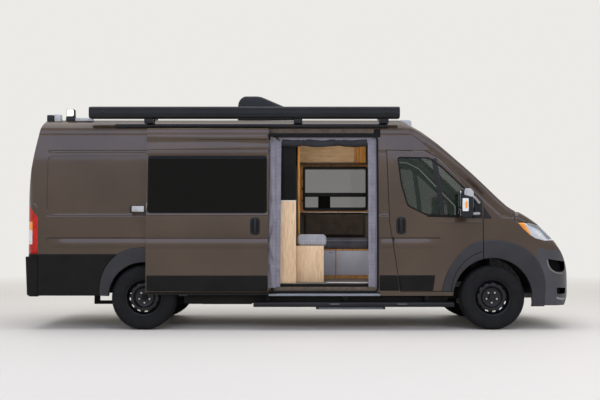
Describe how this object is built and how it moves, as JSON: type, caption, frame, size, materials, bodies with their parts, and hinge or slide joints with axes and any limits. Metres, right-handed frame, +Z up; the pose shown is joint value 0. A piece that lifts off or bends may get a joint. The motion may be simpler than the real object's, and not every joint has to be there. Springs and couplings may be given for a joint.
{
  "type": "camper van",
  "caption": "High-roof panel van fitted as a camper, with opening cab doors, rear doors and bonnet, steered and rolling wheels, awning and fitted interior.",
  "frame": {"origin": "on the ground, at the middle of the van's length and width", "axes": "+X forward, +Y to the driver's left, +Z up"},
  "size_m": [6.3948, 2.559, 2.808],
  "materials": {
    "body_paint": "dark warm-grey metallic paint",
    "black_plastic": "grained black moulding",
    "clear_glass": "clear tinted glass",
    "dark_glass": "dark privacy glass",
    "lamp_clear": "clear lamp lens",
    "lamp_red": "red lamp lens",
    "tyre_rubber": "tread rubber",
    "wheel_steel": "black painted steel wheel",
    "chassis_steel": "dark chassis steel",
    "aluminium": "black coated aluminium",
    "floor_board": "vinyl-faced floor board",
    "birch": "light birch ply",
    "white_board": "white and grey faced board",
    "upholstery": "light grey woven cloth",
    "seat_cloth": "dark grey seat cloth",
    "screen_cloth": "grey screen fabric"
  },
  "bodies": {
    "van": {"body_side_right": "body_paint", "body_side_left": "body_paint", "roof_panel": "body_paint", "windscreen": "clear_glass", "front_panels": "body_paint", "front_bumper": "black_plastic", "grille": "black_plastic", "headlamps": "lamp_clear", "front_bulkhead": "black_plastic", "tail_lamps": "lamp_red", "rear_bumper": "black_plastic", "side_trim": "black_plastic", "arch_liners": "black_plastic", "floor_pan": "floor_board", "sliding_door": "body_paint", "sliding_door_trim": "black_plastic", "side_windows": "dark_glass", "front_subframe": "chassis_steel", "rear_axle": "chassis_steel", "underbody": "chassis_steel", "engine_block": "chassis_steel", "running_board": "aluminium", "awning": "aluminium", "roof_rails": "aluminium", "roof_unit": "black_plastic", "dashboard": "black_plastic", "cab_seats": "seat_cloth", "kitchen_unit": "birch", "bench_boxes": "birch", "seat_cushions": "upholstery", "overhead_cabinet": "birch", "door_screen": "screen_cloth", "bed_platform": "birch", "mattress": "upholstery", "floor_covering": "floor_board"},
    "bonnet": {"bonnet": "body_paint"},
    "front_door_right": {"front_door_right": "body_paint", "front_door_right_glass": "clear_glass", "front_door_right_trim": "black_plastic"},
    "rear_door_right": {"rear_door_right": "body_paint", "rear_door_right_glass": "dark_glass"},
    "knuckle_right": {"knuckle_right": "chassis_steel"},
    "front_door_left": {"front_door_left": "body_paint", "front_door_left_glass": "clear_glass", "front_door_left_trim": "black_plastic"},
    "rear_door_left": {"rear_door_left": "body_paint", "rear_door_left_glass": "dark_glass"},
    "knuckle_left": {"knuckle_left": "chassis_steel"},
    "wheel_front_right": {"tyre_front_right": "tyre_rubber", "rim_front_right": "wheel_steel"},
    "wheel_front_left": {"tyre_front_left": "tyre_rubber", "rim_front_left": "wheel_steel"},
    "wheel_rear_right": {"tyre_rear_right": "tyre_rubber", "rim_rear_right": "wheel_steel"},
    "wheel_rear_left": {"tyre_rear_left": "tyre_rubber", "rim_rear_left": "wheel_steel"}
  },
  "joints": [
    {"name": "bonnet_hinge", "type": "hinge", "parent": "van", "child": "bonnet", "pos_m": [2.466, 0, 1.367], "axis": [0, -1, 0], "range_deg": [0, 50]},
    {"name": "front_door_right_hinge", "type": "hinge", "parent": "van", "child": "front_door_right", "pos_m": [2.109, -1.027, 1.2], "axis": [0, 0, 1], "range_deg": [0, 70]},
    {"name": "front_door_left_hinge", "type": "hinge", "parent": "van", "child": "front_door_left", "pos_m": [2.109, 1.027, 1.2], "axis": [0, 0, -1], "range_deg": [0, 70]},
    {"name": "rear_door_right_hinge", "type": "hinge", "parent": "van", "child": "rear_door_right", "pos_m": [-3.196, -0.785, 1.4], "axis": [0, 0, 1], "range_deg": [0, 180]},
    {"name": "rear_door_left_hinge", "type": "hinge", "parent": "van", "child": "rear_door_left", "pos_m": [-3.196, 0.785, 1.4], "axis": [0, 0, -1], "range_deg": [0, 180]},
    {"name": "steer_right", "type": "hinge", "parent": "van", "child": "knuckle_right", "pos_m": [2.216, -0.8, 0.372], "axis": [0, 0, 1], "range_deg": [-33, 33]},
    {"name": "steer_left", "type": "hinge", "parent": "van", "child": "knuckle_left", "pos_m": [2.216, 0.8, 0.372], "axis": [0, 0, 1], "range_deg": [-33, 33]},
    {"name": "roll_front_right", "type": "hinge", "parent": "knuckle_right", "child": "wheel_front_right", "pos_m": [2.216, -0.895, 0.372], "axis": [0, 1, 0], "continuous": true},
    {"name": "roll_front_left", "type": "hinge", "parent": "knuckle_left", "child": "wheel_front_left", "pos_m": [2.216, 0.895, 0.372], "axis": [0, 1, 0], "continuous": true},
    {"name": "roll_rear_right", "type": "hinge", "parent": "van", "child": "wheel_rear_right", "pos_m": [-1.82, -0.895, 0.372], "axis": [0, 1, 0], "continuous": true},
    {"name": "roll_rear_left", "type": "hinge", "parent": "van", "child": "wheel_rear_left", "pos_m": [-1.82, 0.895, 0.372], "axis": [0, 1, 0], "continuous": true}
  ],
  "couplings": [
    {"joint": "steer_left", "follows": "steer_right", "ratio": 1}
  ]
}
